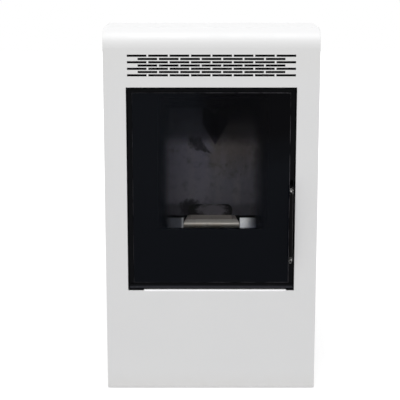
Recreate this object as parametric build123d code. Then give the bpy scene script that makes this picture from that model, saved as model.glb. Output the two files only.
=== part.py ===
from build123d import *
import os
from math import cos, hypot, pi, sin

# Driving dimensions of the stove, in millimetres
width = 500
height = 868
depth = 480
sheet = 2
floor_gap = 3
hood_radius = 45
hood_depth = 190
deck_top = 838
handle_out = 25.5
spigot_out = 40

# Door opening in the casing and the door in it
opening_half = 198
opening_low = 246
opening_high = 732.5
door_half = 195
sill_top = 247.5
door_low = 250.5
door_high = 728.5
door_face = 6
door_thick = 17
glass_half = 184.5
glass_low = 264.5
glass_high = 719.5
glass_thick = 4
hinge_x = -186
hinge_y = 11
lever_x = 188.75
lever_y = 15
lever_z = 498

# Warm air grille above the door
slot_wide = 45
slot_tall = 5.2
slot_pitch = 49.1
row_pitch = 7.5
row_low = 760.5
row_count = 7

# Firebox, hopper and feed
flange_y = 31
firebox_half = 169
firebox_back = 220
firebox_low = 262
firebox_high = 822
plate = 4
throat_half = 158
throat_low = 275
throat_high = 700
tube_radius = 16
tube_z = 770
holder_top = 382
pot_x = 2
pot_taper = 0.1
chute_x = 11
chute_half = 30
chute_mouth_y = 180
chute_tip_z = 573
auger_low = (0, 390, 430)
auger_high = (0, 258, 668)
auger_radius = 30
hopper_half = 170
hopper_front = 267
hopper_rear = 462
hopper_wall = 1.5

# Smoke, combustion air and room air
smoke_y = 325
smoke_z = 215
flue_x = 58
flue_z = 183
flue_radius = 40
intake_x = -95
intake_z = 352
intake_radius = 25
fan_y = 130
fan_z = 120

# The front face is the plane Y = 0 while drawing, and every piece is moved by front_shift when
# it is written, so that the origin lies on the floor under the middle of the whole stove.
front_shift = -(depth + spigot_out - handle_out) / 2
auger_length = hypot(auger_high[1] - auger_low[1], auger_high[2] - auger_low[2])
auger_direction = (0, auger_high[1] - auger_low[1], auger_high[2] - auger_low[2])
auger_place = Plane(origin=auger_low, x_dir=(1, 0, 0), z_dir=auger_direction).location


def save(name, shape):
    export_step(Pos(0, front_shift, 0) * shape, f"parts/{name}.step")


def block(x0, x1, y0, y1, z0, z1):
    return Pos((x0 + x1) / 2, (y0 + y1) / 2, (z0 + z1) / 2) * Box(x1 - x0, y1 - y0, z1 - z0)


def rod_x(radius, x0, x1, y, z):
    return Pos((x0 + x1) / 2, y, z) * Rot(0, 90, 0) * Cylinder(radius, x1 - x0)


def rod_y(radius, x, y0, y1, z):
    return Pos(x, (y0 + y1) / 2, z) * Rot(90, 0, 0) * Cylinder(radius, y1 - y0)


def rod_z(radius, x, y, z0, z1):
    return Pos(x, y, (z0 + z1) / 2) * Cylinder(radius, z1 - z0)


def side_area(points):
    return Plane.YZ * make_face(Polyline(*points, close=True))


def side_plate(points, x0, x1):
    return Pos(x0, 0, 0) * extrude(side_area(points), x1 - x0)


def ring_x(outer, inner, x0, x1, y, z):
    return rod_x(outer, x0, x1, y, z) - rod_x(inner, x0 - 1, x1 + 1, y, z)


def ring_y(outer, inner, x, y0, y1, z):
    return rod_y(outer, x, y0, y1, z) - rod_y(inner, x, y0 - 1, y1 + 1, z)


# Casing

def hood_area(inset):
    """The side view of the front sheet's outer face, pulled in all round by inset."""
    tall = height - inset - floor_gap - inset
    deep = hood_depth - 2 * inset
    centre = (inset + deep / 2, floor_gap + inset + tall / 2)
    area = Pos(*centre) * Rectangle(deep, tall)
    corner = area.vertices().sort_by(Axis.X)[:2].sort_by(Axis.Y)[-1]
    return Plane.YZ * fillet(corner, hood_radius - inset)


def slot_rows():
    slots = []
    for row in range(row_count):
        count = 8 - row % 2
        for n in range(count):
            x = (n - (count - 1) / 2) * slot_pitch
            slots.append(Pos(x, 0, row_low + row * row_pitch) * Box(slot_wide, 12, slot_tall))
    return slots


def door_sill():
    """Rolled edge between the hinge bracket and the door rest: an arc from the face to a level ledge."""
    radius = 3
    foot = opening_low - sheet - 0.5
    bend = radius * cos(pi / 4)
    outline = [
        Line((0, foot), (0, sill_top - radius)),
        ThreePointArc((0, sill_top - radius), (radius - bend, sill_top - radius + bend), (radius, sill_top)),
        Polyline((radius, sill_top), (15, sill_top), (15, foot), (0, foot)),
    ]
    return Pos(-160.5, 0, 0) * extrude(Plane.YZ * make_face(Curve() + outline), 340)


def front_panel():
    """One sheet bent over the arc at the top, with returned edges, grille, door opening and sill."""
    half = width / 2
    skin = hood_area(0) - hood_area(sheet)
    panel = extrude(skin, half - sheet, both=True)
    panel -= block(-half, half, 20, hood_depth, 0, deck_top)
    edge = extrude(hood_area(0) - hood_area(18), sheet)
    edge -= block(-half, half, 18, hood_depth + 1, 0, height - hood_radius - 60)
    edge -= block(-half, half, hood_depth - 18, hood_depth + 1, 0, height - 18)
    edges = Pos(half - sheet, 0, 0) * edge + Pos(-half, 0, 0) * edge
    panel += edges
    corners = panel.edges().filter_by(Axis.Z).filter_by(lambda e: abs(abs(e.center().X) - half) < 0.1)
    panel = fillet([e for e in corners if e.center().Y < 0.1], 1.5)
    outer = opening_half + sheet
    collar = block(-outer, outer, 0.5, 15, opening_low - sheet, opening_high + sheet)
    panel += collar
    hole = block(-opening_half, opening_half, -1, 16, opening_low, opening_high)
    panel -= hole
    panel -= block(-160.5, 179.5, -1, 4, sill_top - 3, opening_low + 1)
    panel += door_sill()
    for slot in slot_rows():
        panel -= slot
    return panel


def side_panel(side):
    """A flat side with returned rear and bottom edges and a stepped strip behind the front sheet."""
    inset = 18.5
    arc_y = hood_radius
    arc_z = height - hood_radius
    reach = hood_radius - inset
    middle = (arc_y - reach * cos(pi / 4), arc_z + reach * sin(pi / 4))
    outline = [
        Line((inset, floor_gap), (inset, arc_z)),
        ThreePointArc((inset, arc_z), middle, (arc_y, height - inset)),
        Polyline(
            (arc_y, height - inset),
            (hood_depth - sheet - 0.5, height - inset),
            (hood_depth - sheet - 0.5, deck_top),
            (depth - sheet, deck_top),
            (depth - sheet, floor_gap),
            (inset, floor_gap),
        ),
    ]
    wall = extrude(Plane.YZ * make_face(Curve() + outline), sheet)
    wall = Pos(width / 2 - sheet, 0, 0) * wall
    inside = width / 2 - sheet
    rear_edge = block(inside - 14, inside, depth - 2 * sheet, depth - sheet, floor_gap, deck_top - sheet)
    foot_edge = block(inside - 14, inside, 24, depth - 2 * sheet, floor_gap, floor_gap + sheet)
    joggle = block(inside - sheet, inside, 3, 32, 8, arc_z - 2)
    panel = wall + rear_edge + foot_edge + joggle
    return panel if side > 0 else mirror(panel, Plane.YZ)


def vent_slots(x0, count, z0, z1):
    return [block(x0 + 14 * n, x0 + 14 * n + 6, depth - 4, depth + 1, z0, z1) for n in range(count)]


def rear_panel():
    half = width / 2
    panel = block(-half, half, depth - sheet, depth, floor_gap, deck_top)
    panel -= rod_y(flue_radius + 5, flue_x, depth - 4, depth + 1, flue_z)
    panel -= rod_y(intake_radius + 3, intake_x, depth - 4, depth + 1, intake_z)
    panel -= block(149, 179, depth - 4, depth + 1, 61, 107)
    panel -= rod_y(9, 164, depth - 4, depth + 1, 200)
    for slot in vent_slots(-200, 14, 40, 100) + vent_slots(-200, 8, 120, 180):
        panel -= slot
    for slot in vent_slots(-90, 13, 620, 690):
        panel -= slot
    return panel


def top_deck():
    half = width / 2 - sheet
    deck = block(-half, half, hood_depth - 14, depth - sheet, deck_top - sheet, deck_top)
    mouth = hopper_half - hopper_wall
    deck -= block(-mouth, mouth, hopper_front + hopper_wall, hopper_rear - hopper_wall, 830, 840)
    deck -= block(-238, -188, 255, 415, 830, 840)
    return deck


def base_tray():
    half = width / 2 - 2 * sheet
    rear = depth - 2 * sheet
    tray = block(-half, half, sheet, rear, 20, 45)
    tray -= block(-half + sheet, half - sheet, 2 * sheet, rear - sheet, 23, 46)
    for x in (-1, 1):
        for y in (60, 420):
            tray += rod_z(11, 205 * x, y, 22, 32)
            tray -= rod_z(5.3, 205 * x, y, 10, 40)
    return tray


def levelling_foot(x, y):
    pad = rod_z(18, x, y, 0, 6) + Pos(x, y, 8) * Cone(18, 8, 4)
    spindle = rod_z(5, x, y, 6, 52) - Pos(x, y, 50) * Box(12, 1.6, 6)
    nut = Pos(x, y, 10) * extrude(RegularPolygon(8.5, 6), 6)
    return pad + spindle + nut


def casing_screws():
    spots = [(x, z) for z in (60, 330, 560, 800) for x in (-240, 240)]
    heads = []
    for x, z in spots:
        head = rod_y(4.5, x, depth, depth + 2.4, z)
        head -= Pos(x, depth + 2, z) * Box(5, 2, 1.2)
        heads.append(head)
    return Compound(children=heads)


# Door

def door_ring(out_half, low, high, width_in, y0, y1):
    ring = block(-out_half, out_half, y0, y1, low, high)
    inner = block(-out_half + width_in, out_half - width_in, y0 - 1, y1 + 1, low + width_in, high - width_in)
    return ring - inner


def door_frame():
    """Folded frame: side wall, front lip, ledge behind the glass, back flange and the lever's pin."""
    back = door_face + door_thick
    ledge_y = door_face + glass_thick + 1
    frame = door_ring(door_half, door_low, door_high, sheet, door_face, back)
    lip = block(-door_half, door_half, door_face, door_face + sheet, door_low, door_high)
    bay = glass_half + 0.7
    lip -= block(-bay, bay, door_face - 1, door_face + 3, glass_low - 0.7, glass_high + 0.7)
    frame += lip
    slope = glass_low - 0.7
    rail_low = door_low + 4
    sloped_rail = [(door_face, rail_low), (door_face + 3.2, slope), (ledge_y, slope), (ledge_y, rail_low)]
    frame -= block(-door_half + sheet, door_half - sheet, door_face - 1, ledge_y, rail_low, slope)
    frame += side_plate(sloped_rail, -door_half, door_half)
    frame += door_ring(door_half, door_low, door_high, 27, ledge_y, ledge_y + sheet)
    frame += door_ring(door_half, door_low, door_high, 27, back - sheet, back)
    for low, high in ((door_low, door_low + 11), (door_high - 8, door_high)):
        frame += block(-door_half, hinge_x + 6, door_face, back, low, high)
    for low, high in ((door_low - 1, door_low + 10), (door_high - 7, door_high + 1)):
        frame -= rod_z(3.05, hinge_x, hinge_y, low, high)
    frame += block(lever_x - 7.3, lever_x - 5.3, ledge_y, back, lever_z - 30, lever_z + 30)
    frame -= block(lever_x - 3.4, lever_x + 3.4, 5, ledge_y, lever_z - 7, lever_z + 16)
    frame -= block(lever_x - 3.4, lever_x + 3.4, 8.5, back + 1, lever_z - 24, lever_z + 16)
    frame += rod_x(2.5, lever_x - 7.3, door_half + 0.5, lever_y, lever_z)
    return frame + rod_x(3.6, door_half, door_half + 1.1, lever_y, lever_z)


def door_glass():
    y1 = door_face + glass_thick
    glass = block(-glass_half, glass_half, door_face, y1, glass_low, glass_high)
    front_edges = glass.faces().sort_by(Axis.Y)[0].edges()
    return chamfer(front_edges, 0.8)


def glass_seal():
    y0 = door_face + glass_thick
    seal = block(-glass_half, glass_half, y0, y0 + 1, glass_low, glass_high)
    return seal - block(-glass_half + 12, glass_half - 12, y0 - 1, y0 + 2, glass_low + 12, glass_high - 12)


def door_gasket():
    """The rope seal on the back of the door, round the throat of the firebox."""
    y0 = door_face + door_thick
    thick = 9
    half = 180.5
    low = throat_low - 15.5
    high = throat_high + 15.5
    outer = Pos(0, (low + high) / 2) * RectangleRounded(2 * half, high - low, 14)
    inner = Pos(0, (low + high) / 2) * RectangleRounded(2 * half - 2 * thick, high - low - 2 * thick, 6)
    rope = extrude(Plane.XZ * (outer - inner), -(flange_y - 0.5 - y0))
    rope = Pos(0, y0, 0) * rope
    rims = rope.faces().sort_by(Axis.Y)[-1].edges()
    return chamfer(rims, 2)


def door_lever():
    """Flat latch hook on the pivot, carrying a round grip that hangs in front of the door."""
    x, y, z = lever_x, lever_y, lever_z
    grip_x = lever_x - 2
    grip_y = -handle_out + 4
    foot_z = 320
    neck_y = y - 17.5
    hook = [
        (neck_y - 0.5, z - 4),
        (y + 28.5, z - 4),
        (y + 28.5, z + 14),
        (y + 22.5, z + 14),
        (y + 22.5, z + 4),
        (neck_y - 0.5, z + 4),
    ]
    lever = side_plate(hook, x - 3, x + 3)
    corners = [(x, neck_y, z), (grip_x, grip_y, z), (grip_x, grip_y, foot_z), (grip_x, grip_y + 14, foot_z)]
    route = FilletPolyline(*corners, radius=9)
    start = Plane(origin=corners[0], z_dir=(grip_x - x, grip_y - neck_y, 0))
    grip = sweep(start * Circle(4), path=route)
    lever += grip
    return lever - rod_x(2.55, lever_x - 4, lever_x + 4, lever_y, lever_z)


def latch_keeper():
    keeper = block(lever_x - 9, lever_x + 9, flange_y + 3, flange_y + 6, lever_z + 5, lever_z + 24)
    return keeper - block(lever_x - 9, lever_x - 4, flange_y + 2, flange_y + 7, lever_z + 4, lever_z + 9)


def hinge_brackets():
    """Two flat arms from the firebox flange, one under and one over the door's hinge corner."""
    arms = []
    for z0 in (opening_low + 0.6, door_high + 0.7):
        arm = block(-196, -161, 3, flange_y, z0, z0 + 3)
        arms.append(arm - rod_z(3, hinge_x, hinge_y, z0 - 1, z0 + 4))
    return Compound(children=arms)


def door_hinge_pins():
    washer_z = opening_low + 3.6
    low = rod_z(3, hinge_x, hinge_y, opening_low + 0.6, door_low + 9)
    low += rod_z(5.5, hinge_x, hinge_y, washer_z, washer_z + 0.5)
    high = rod_z(3, hinge_x, hinge_y, door_high - 6, opening_high - 0.3)
    return Compound(children=[low, high])


def door_rest():
    """The small block under the door's free corner, with a ramp that lifts the door as it closes."""
    foot = opening_low + 0.4
    top = door_low - 0.4
    ramp = [(3, foot), (3, foot + 1.2), (9, top), (flange_y, top), (flange_y, foot)]
    return side_plate(ramp, 180, 197)


# Firebox

def chute_area(grow):
    low = chute_tip_z - 1.8 * grow
    half = chute_half + grow
    shoulder = chute_tip_z + 48
    top = chute_tip_z + 92 + grow
    points = [(0, low), (half, shoulder), (half, top), (-half, top), (-half, shoulder)]
    return Pos(chute_x, 0, 0) * (Plane.XZ * make_face(Polyline(*points, close=True)))


def chute_prism(grow, y0, y1):
    """The chute's section run back and up at 45 degrees, between two upright planes."""
    area = Pos(0, chute_mouth_y - 30, -30) * chute_area(grow)
    prism = extrude(area, 220, dir=(0, 1, 1))
    return prism & block(-100, 140, y0, y1, 500, 900)


def firebox_body():
    """The welded chamber with its drawer rails and the openings in its back wall."""
    inner = firebox_half - plate
    back = firebox_back
    front = flange_y + 3
    body = block(-firebox_half, firebox_half, front, back, firebox_low, firebox_high)
    body -= block(-inner, inner, front - 1, back - plate, firebox_low + plate, firebox_high - plate)
    for side in (-1, 1):
        rail = sorted((118 * side, inner * side))
        body += block(rail[0], rail[1], front, 200, throat_low - 3, throat_low)
    body -= block(-40, 18, back - 5, back + 1, 268, 300)
    body -= chute_prism(3.5, back - 10, back + 1)
    body -= rod_y(intake_radius, intake_x, back - 10, back + 1, intake_z)
    body -= rod_y(7, 20, back - 10, back + 1, 355)
    for x in tube_places():
        body -= rod_y(tube_radius, x, back - 10, back + 1, tube_z)
    return body


def firebox_flange():
    """Front plate with the throat, the latch slot and the mouths of the air tubes."""
    flange = block(-213, 213, flange_y, flange_y + 3, 232, firebox_high)
    throat = Pos(0, (throat_low + throat_high) / 2) * RectangleRounded(
        2 * throat_half, throat_high - throat_low, 8
    )
    flange -= Pos(0, 40, 0) * extrude(Plane.XZ * throat, 20)
    flange -= block(lever_x - 4.25, lever_x + 5.25, 30, 40, lever_z - 24, lever_z + 6)
    for x in tube_places():
        flange -= rod_y(tube_radius, x, 25, 40, tube_z)
    return flange


def smoke_box():
    """Box under the hopper that takes the smoke from the chamber's foot to the fan."""
    box = block(-50, 28, firebox_back, 392, 155, 305) - block(-47, 25, firebox_back + 3, 389, 158, 302)
    box -= block(-40, 18, firebox_back - 1, firebox_back + 4, 268, 300)
    return box - rod_x(38, 20, 30, smoke_y, smoke_z)


def firebox_legs():
    """Four bent angles that carry the chamber on the tray."""
    legs = []
    for side in (-1, 1):
        for y in (50, 190):
            post = sorted((140 * side, firebox_half * side))
            hollow = sorted((138 * side, (firebox_half - 3) * side))
            leg = block(post[0], post[1], y, y + 22, 23, firebox_low)
            legs.append(leg - block(hollow[0], hollow[1], y + 3, y + 23, 22, firebox_low + 1))
    return Compound(children=legs)


def tube_places():
    return [50 * n - 125 for n in range(6)]


def heat_exchanger_tubes():
    tubes = [ring_y(tube_radius, tube_radius - 1.5, x, flange_y, firebox_back, tube_z) for x in tube_places()]
    return Compound(children=tubes)


def back_liner():
    """The cast panel behind the fire, with upright flutes at both sides and the chute's opening."""
    front = 204
    liner = block(-165, 165, front, firebox_back - plate, 384, 686)
    for side in (-1, 1):
        for n in range(3):
            x = side * (96 + 22 * n)
            liner -= block(x - 4, x + 4, front - 1, front + 3, 400, 670)
    return liner - chute_prism(3.5, front - 5, firebox_back)


def baffle_plate():
    baffle = block(-165, 165, 70, 203, 690, 694)
    return baffle + block(-165, 165, 70, 74, 676, 690)


def pot_area(inset, y0, y1):
    """Plan of the burn pot between two depths: wider at the front by the pot's taper."""
    front = 64.5 - (y0 - 121) * pot_taper - inset
    rear = 64.5 - (y1 - 121) * pot_taper - inset
    corners = [(-front, y0), (front, y0), (rear, y1), (-rear, y1)]
    return Pos(pot_x, 0) * make_face(Polyline(*corners, close=True))


def burn_pot_holder():
    """The air chamber under the burn pot, with a leaning cheek at each side of its front."""
    shell = block(-125, 125, 122, 216, 335, holder_top)
    shell -= block(-122, 122, 125, 217, 338, holder_top - 3)
    shell -= Pos(0, 0, 345) * extrude(pot_area(2.6, 126.5, 195.5), 60)
    cheek = [(109, 366), (122.5, 397), (126, 397), (126, holder_top - 1), (122, holder_top - 1), (122, 366)]
    for side in (-1, 1):
        spot = sorted((69.5 * side + pot_x, 109 * side + pot_x))
        shell += side_plate(cheek, *spot)
    return shell


def pot_apron():
    """The pot's rolled front: a full lip below a collar that rises back to the cup, narrowing as it goes."""
    section = [
        Line((113.5, 372), (111, 372)),
        Spline((111, 372), (109.2, 379), (112.4, 386.4)),
        Polyline((112.4, 386.4), (127.5, 391.5), (130, 391.5), (130, 383.5), (114.5, 383.5), (113.5, 372)),
    ]
    roll = Pos(pot_x - 80, 0, 0) * extrude(Plane.YZ * make_face(Curve() + section), 160)
    plan = [(-67.8, 105), (-67.8, 113), (-59, 131), (59, 131), (67.8, 113), (67.8, 105)]
    return roll & Pos(pot_x, 0, 360) * extrude(make_face(Polyline(*plan, close=True)), 40)


def burn_pot():
    """Stainless cup, wider at the front, with a flat rim, a rolled front and an arched back."""
    z0 = holder_top + 0.3
    pot = Pos(0, 0, z0) * extrude(pot_area(-3.5, 126.3, 202), 2.5)
    pot += Pos(0, 0, 342) * extrude(pot_area(3.4, 127.4, 194.6), z0 + 1 - 342)
    pot += pot_apron()
    pot -= Pos(0, 0, 344.5) * extrude(pot_area(5.9, 129.9, 192.1), 60)
    back = Pos(pot_x - 3, 0, 397) * (Plane.XZ * RectangleRounded(112, 34, 15))
    back_plate = Pos(0, 202, 0) * extrude(back, 2.5)
    back_plate -= block(-80, 80, 190, 210, 370, z0)
    pot += back_plate
    for n in range(6):
        x = pot_x - 49 + 17 * n
        pot -= block(x, x + 8, 138, 186, 341, 346)
        pot -= block(x, x + 8, 126, 132, 356, 360)
        pot -= block(x, x + 8, 190, 196, 356, 360)
    return pot


def ash_drawer():
    """Open tray under the burn pot, with a bent pull on its front."""
    tray = block(-130, 130, 45, 200, throat_low + 0.4, 331)
    tray -= block(-128, 128, 47, 198, throat_low + 2.4, 332)
    route = FilletPolyline((-45, 44, 312), (-45, 34, 312), (45, 34, 312), (45, 44, 312), radius=5)
    start = Plane(origin=(-45, 44, 312), z_dir=(0, -1, 0))
    pull = sweep(start * Circle(3), path=route)
    pull += rod_y(3, -45, 43.5, 45.5, 312) + rod_y(3, 45, 43.5, 45.5, 312)
    return tray + pull


def igniter():
    return rod_y(5, 20, 196, 250, 355) + rod_y(7, 20, firebox_back - plate, firebox_back + 12, 355)


# Hopper and feed

def hopper_solid(inset, top):
    """The hopper as one filled form, its front view crossed with its side view, pulled in by inset."""
    half = hopper_half - inset
    neck = 26 - inset
    front_view = [(half, top), (half, 715), (neck, 560), (neck, 440), (-neck, 440), (-neck, 560)]
    front_view += [(-half, 715), (-half, top)]
    y0 = hopper_front + inset
    y1 = hopper_rear - inset
    side_view = [(y0, top), (y0, 715), (360 + inset, 560), (360 + inset, 440), (400 - inset, 440)]
    side_view += [(400 - inset, 560), (y1, 715), (y1, top)]
    seen_from_front = extrude(Plane.XZ * make_face(Polyline(*front_view, close=True)), -500)
    return seen_from_front & side_plate(side_view, -200, 200)


def hopper():
    rim = block(-hopper_half - 8, hopper_half + 8, hopper_front - 8, hopper_rear + 8, 834.5, deck_top - sheet)
    body = hopper_solid(0, deck_top - sheet) + rim
    body -= hopper_solid(hopper_wall, deck_top + 1)
    tube = auger_place * (Pos(0, 0, 130) * Cylinder(auger_radius, 400))
    below = auger_place * block(-60, 60, -260, 0, -60, 330)
    return body - tube - below


def hopper_guard_bars():
    y0 = hopper_front + hopper_wall
    y1 = hopper_rear - hopper_wall
    return Compound(children=[rod_y(2.5, 40 * n - 120, y0, y1, 805) for n in range(7)])


def hopper_lid():
    """Pressed lid with a turned-down rim, a lip to lift it by and two hinge knuckles."""
    low = deck_top + 1
    high = deck_top + 11
    lid = block(-178, 178, 259, 466, low, high) - block(-176, 176, 261, 464, low - 1, high - sheet)
    lid += block(-45, 45, 250, 260, high - 4, high - 1.5)
    for x in (-110, 110):
        knuckle = rod_x(5, x - 12, x + 12, 472, 845) + block(x - 12, x + 12, 465, 472, high - sheet, high)
        lid += knuckle
        lid -= rod_x(3.05, x - 13, x + 13, 472, 845)
    return lid


def lid_seal():
    seal = block(-175.5, 175.5, 261.5, 463.5, deck_top + 0.5, deck_top + 9)
    return seal - block(-169, 169, 268, 457, deck_top, deck_top + 10)


def lid_hinges():
    """Two leaves on the deck, each with round ears and its riveted pin."""
    leaves = []
    for x in (-110, 110):
        leaf = block(x - 17, x + 17, 467.5, 477, deck_top, deck_top + 1.4)
        for side in (-1, 1):
            ear = sorted((x + 12.4 * side, x + 17 * side))
            leaf += block(ear[0], ear[1], 467.5, 476.5, deck_top, 845) + rod_x(4.5, ear[0], ear[1], 472, 845)
        leaves.append(leaf + rod_x(3, x - 17.5, x + 17.5, 472, 845))
    return Compound(children=leaves)


def pellet_chute():
    chute = chute_prism(2, chute_mouth_y, 275) - chute_prism(0, chute_mouth_y - 1, 276)
    tube = auger_place * (Pos(0, 0, 130) * Cylinder(auger_radius, 400))
    behind = auger_place * block(-100, 100, 0, 200, 0, 500)
    return chute - tube - behind


def auger_tube():
    """Feed tube with its foot plate, bush seats, the hopper's inlet and the chute's outlet."""
    length = auger_length
    outer = Pos(0, 0, length / 2) * Cylinder(auger_radius, length)
    inner = Pos(0, 0, (length - 4) / 2) * Cylinder(auger_radius - 2, length - 4)
    tube = outer - inner
    tube += block(-38, 38, -38, 38, -4, 0)
    tube -= Pos(0, 0, length / 2) * Cylinder(8.05, length + 20)
    tube -= block(-22, 22, 8, 40, 42, 106)
    tube = auger_place * tube
    outlet = chute_prism(0, 225, 260) - auger_place * block(-100, 100, -12, 200, 0, 500)
    return tube - outlet


def auger_screw():
    """Steel screw: one flight wound round the shaft, ending short of the outlet."""
    pitch = 45
    turns = 5
    shaft = Pos(0, 0, 111) * Cylinder(8, 316)
    path = Helix(pitch, pitch * turns, 16.5)
    start = Plane(origin=path @ 0, x_dir=(1, 0, 0), z_dir=path % 0)
    flight = sweep(start * Rectangle(18, 3), path=path, is_frenet=True)
    return auger_place * (shaft + Pos(0, 0, 10) * flight)


def auger_gearmotor():
    """Gearbox under the tube's foot plate with the motor below it."""
    gearbox = block(-33, 33, -36, 36, -50, -4)
    gearbox = chamfer(gearbox.edges().filter_by(Axis.Z), 5)
    stator = Pos(0, 0, -66) * Cylinder(29, 32)
    core = block(-32, 32, -20, 20, -78, -58)
    cap = Pos(0, 0, -86) * Cylinder(12, 10)
    unit = gearbox + stator + core + cap
    return auger_place * (unit - Pos(0, 0, -25) * Cylinder(8.4, 46))


# Smoke fan and combustion air

def smoke_outline(inset):
    radius = 72 - inset
    low = smoke_z - radius
    circle = Pos(smoke_y, smoke_z) * Circle(radius)
    outlet = Pos((smoke_y + 412) / 2, low + (80 - 2 * inset) / 2) * Rectangle(412 - smoke_y, 80 - 2 * inset)
    return Plane.YZ * (circle + outlet)


def exhaust_housing():
    """Scroll with a round inlet on the smoke box side and a straight outlet to the flue."""
    wall = 3
    housing = Pos(28, 0, 0) * extrude(smoke_outline(0), 60)
    core = Pos(28 + wall, 0, 0) * extrude(smoke_outline(wall), 60 - 2 * wall)
    housing -= core
    housing -= block(31, 85, 400, 415, 146, 220)
    housing -= rod_x(38, 27, 32, smoke_y, smoke_z)
    return housing - rod_x(62, 84, 89, smoke_y, smoke_z)


def exhaust_impeller():
    """Back disc with ten straight blades on a hub, and the shaft that drives it."""
    disc = rod_x(57, 76, 78, smoke_y, smoke_z)
    hub = rod_x(10, 62, 82, smoke_y, smoke_z)
    wheel = disc + hub
    for n in range(10):
        blade = block(50, 77, -1, 1, 20, 55)
        turn = Pos(0, smoke_y, smoke_z) * Rot(36 * n, 0, 0)
        wheel += turn * blade
    return wheel + rod_x(4, 58, 165, smoke_y, smoke_z)


def exhaust_motor():
    """Motor on its round cover plate, held off by four pillars, with a cooling disc behind."""
    motor = rod_x(66, 88, 91, smoke_y, smoke_z)
    motor += rod_x(33, 104, 150, smoke_y, smoke_z)
    motor += block(112, 142, smoke_y - 38, smoke_y + 38, smoke_z - 30, smoke_z + 30)
    for n in range(4):
        angle = pi / 4 + n * pi / 2
        motor += rod_x(4, 90, 106, smoke_y + 26 * cos(angle), smoke_z + 26 * sin(angle))
    return motor - rod_x(4.05, 80, 160, smoke_y, smoke_z)


def flue_spigot():
    spigot = ring_y(flue_radius, flue_radius - 1.5, flue_x, 412, depth + spigot_out, flue_z)
    spigot += ring_y(flue_radius + 2, flue_radius - 1.5, flue_x, depth + 2, depth + 6, flue_z)
    flange = block(18, 98, 412, 415, 141, 225) - rod_y(flue_radius - 1.5, flue_x, 411, 416, flue_z)
    return spigot + flange


def air_intake_pipe():
    pipe = ring_y(intake_radius, intake_radius - 1.5, intake_x, firebox_back - plate, depth + spigot_out, intake_z)
    return pipe + ring_y(intake_radius + 2, intake_radius - 1.5, intake_x, depth + 2, depth + 6, intake_z)


# Room air fan

def fan_scroll(radius):
    """Side view of the crossflow fan's casing: a curl round the wheel opening into a duct."""
    y, z = fan_y, fan_z
    outer = [
        Line((y - radius, z), (y - radius, 205)),
        Line((y - radius, 205), (y - radius + 2, 205)),
        Line((y - radius + 2, 205), (y - radius + 2, z)),
        ThreePointArc((y - radius + 2, z), (y, z - radius + 2), (y + radius - 2, z)),
        Line((y + radius - 2, z), (y + radius, z)),
        ThreePointArc((y + radius, z), (y, z - radius), (y - radius, z)),
    ]
    return Plane.YZ * make_face(Curve() + outer)


def room_fan_housing():
    curl = extrude(fan_scroll(38), 126, both=True)
    tongue = block(-126, 126, fan_y + 8, fan_y + 10, 158, 205)
    housing = curl + tongue
    for side in (-1, 1):
        ends = [(fan_y - 38, 23), (fan_y + 44, 23), (fan_y + 44, 140), (fan_y + 10, 205), (fan_y - 38, 205)]
        x = sorted((126 * side, 128 * side))
        housing += side_plate(ends, x[0], x[1])
        foot = sorted((128 * side, 140 * side))
        housing += block(foot[0], foot[1], fan_y - 38, fan_y + 44, 23, 25)
    return housing - rod_x(4.05, -140, 140, fan_y, fan_z)


def room_fan_impeller():
    """Crossflow wheel: curved blades between three discs, on one long shaft."""
    wheel = rod_x(4, -132, 190, fan_y, fan_z)
    outline = [
        ThreePointArc((29.5, 0), (25, 2.6), (21.5, 7)),
        Line((21.5, 7), (22.4, 7.7)),
        ThreePointArc((22.4, 7.7), (25.9, 3.6), (30, 1.2)),
        Line((30, 1.2), (29.5, 0)),
    ]
    area = Plane.YZ * make_face(Curve() + outline)
    bar = extrude(area, 119, both=True)
    for n in range(18):
        wheel += Pos(0, fan_y, fan_z) * Rot(20 * n, 0, 0) * bar
    for x in (-120, -1, 118):
        wheel += rod_x(31, x, x + 2, fan_y, fan_z)
    return wheel


def room_fan_motor():
    core = block(136, 168, fan_y - 24, fan_y + 30, fan_z - 24, fan_z + 24)
    coil = block(132, 172, fan_y + 12, fan_y + 26, fan_z - 16, fan_z + 16)
    cups = rod_x(16, 130, 176, fan_y, fan_z)
    motor = core + coil + cups
    for side in (-1, 1):
        motor += rod_x(3, 128, 140, fan_y + 2, fan_z + 19 * side)
    return motor - rod_x(4.3, 120, 180, fan_y, fan_z)


# Controls and electrics

def control_bezel():
    bezel = block(-243, -183, 250, 420, deck_top, deck_top + 4)
    bezel = fillet(bezel.edges().filter_by(Axis.Z), 5)
    bezel -= block(-237, -189, 345, 410, deck_top + 2.5, deck_top + 5)
    bezel -= block(-233, -193, 351, 404, deck_top - 1, deck_top + 5)
    for x, y in key_places():
        bezel -= block(x - 8.4, x + 8.4, y - 6.4, y + 6.4, deck_top - 1, deck_top + 5)
    return bezel


def key_places():
    return [(x, y) for y in (275, 305) for x in (-226, -200)]


def display_window():
    return block(-236.8, -189.2, 345.2, 409.8, deck_top + 2.5, deck_top + 4)


def control_key(x, y):
    cap = block(x - 8, x + 8, y - 6, y + 6, deck_top - 3, deck_top + 5.6)
    cap = fillet(cap.faces().sort_by(Axis.Z)[-1].edges(), 0.8)
    return cap + block(x - 9.5, x + 9.5, y - 7.5, y + 7.5, deck_top - 4.5, deck_top - 1)


def keypad_board():
    board = block(-237, -189, 257, 413, deck_top - 12, deck_top - 10.4)
    for x, y in key_places():
        board += block(x - 3, x + 3, y - 3, y + 3, deck_top - 11, deck_top - 6.6)
    board += block(-232, -194, 352, 403, deck_top - 11, deck_top - 4)
    for x in (-234, -192):
        for y in (260, 410):
            board += rod_z(2, x, y, deck_top - 11, deck_top)
    return board


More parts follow.
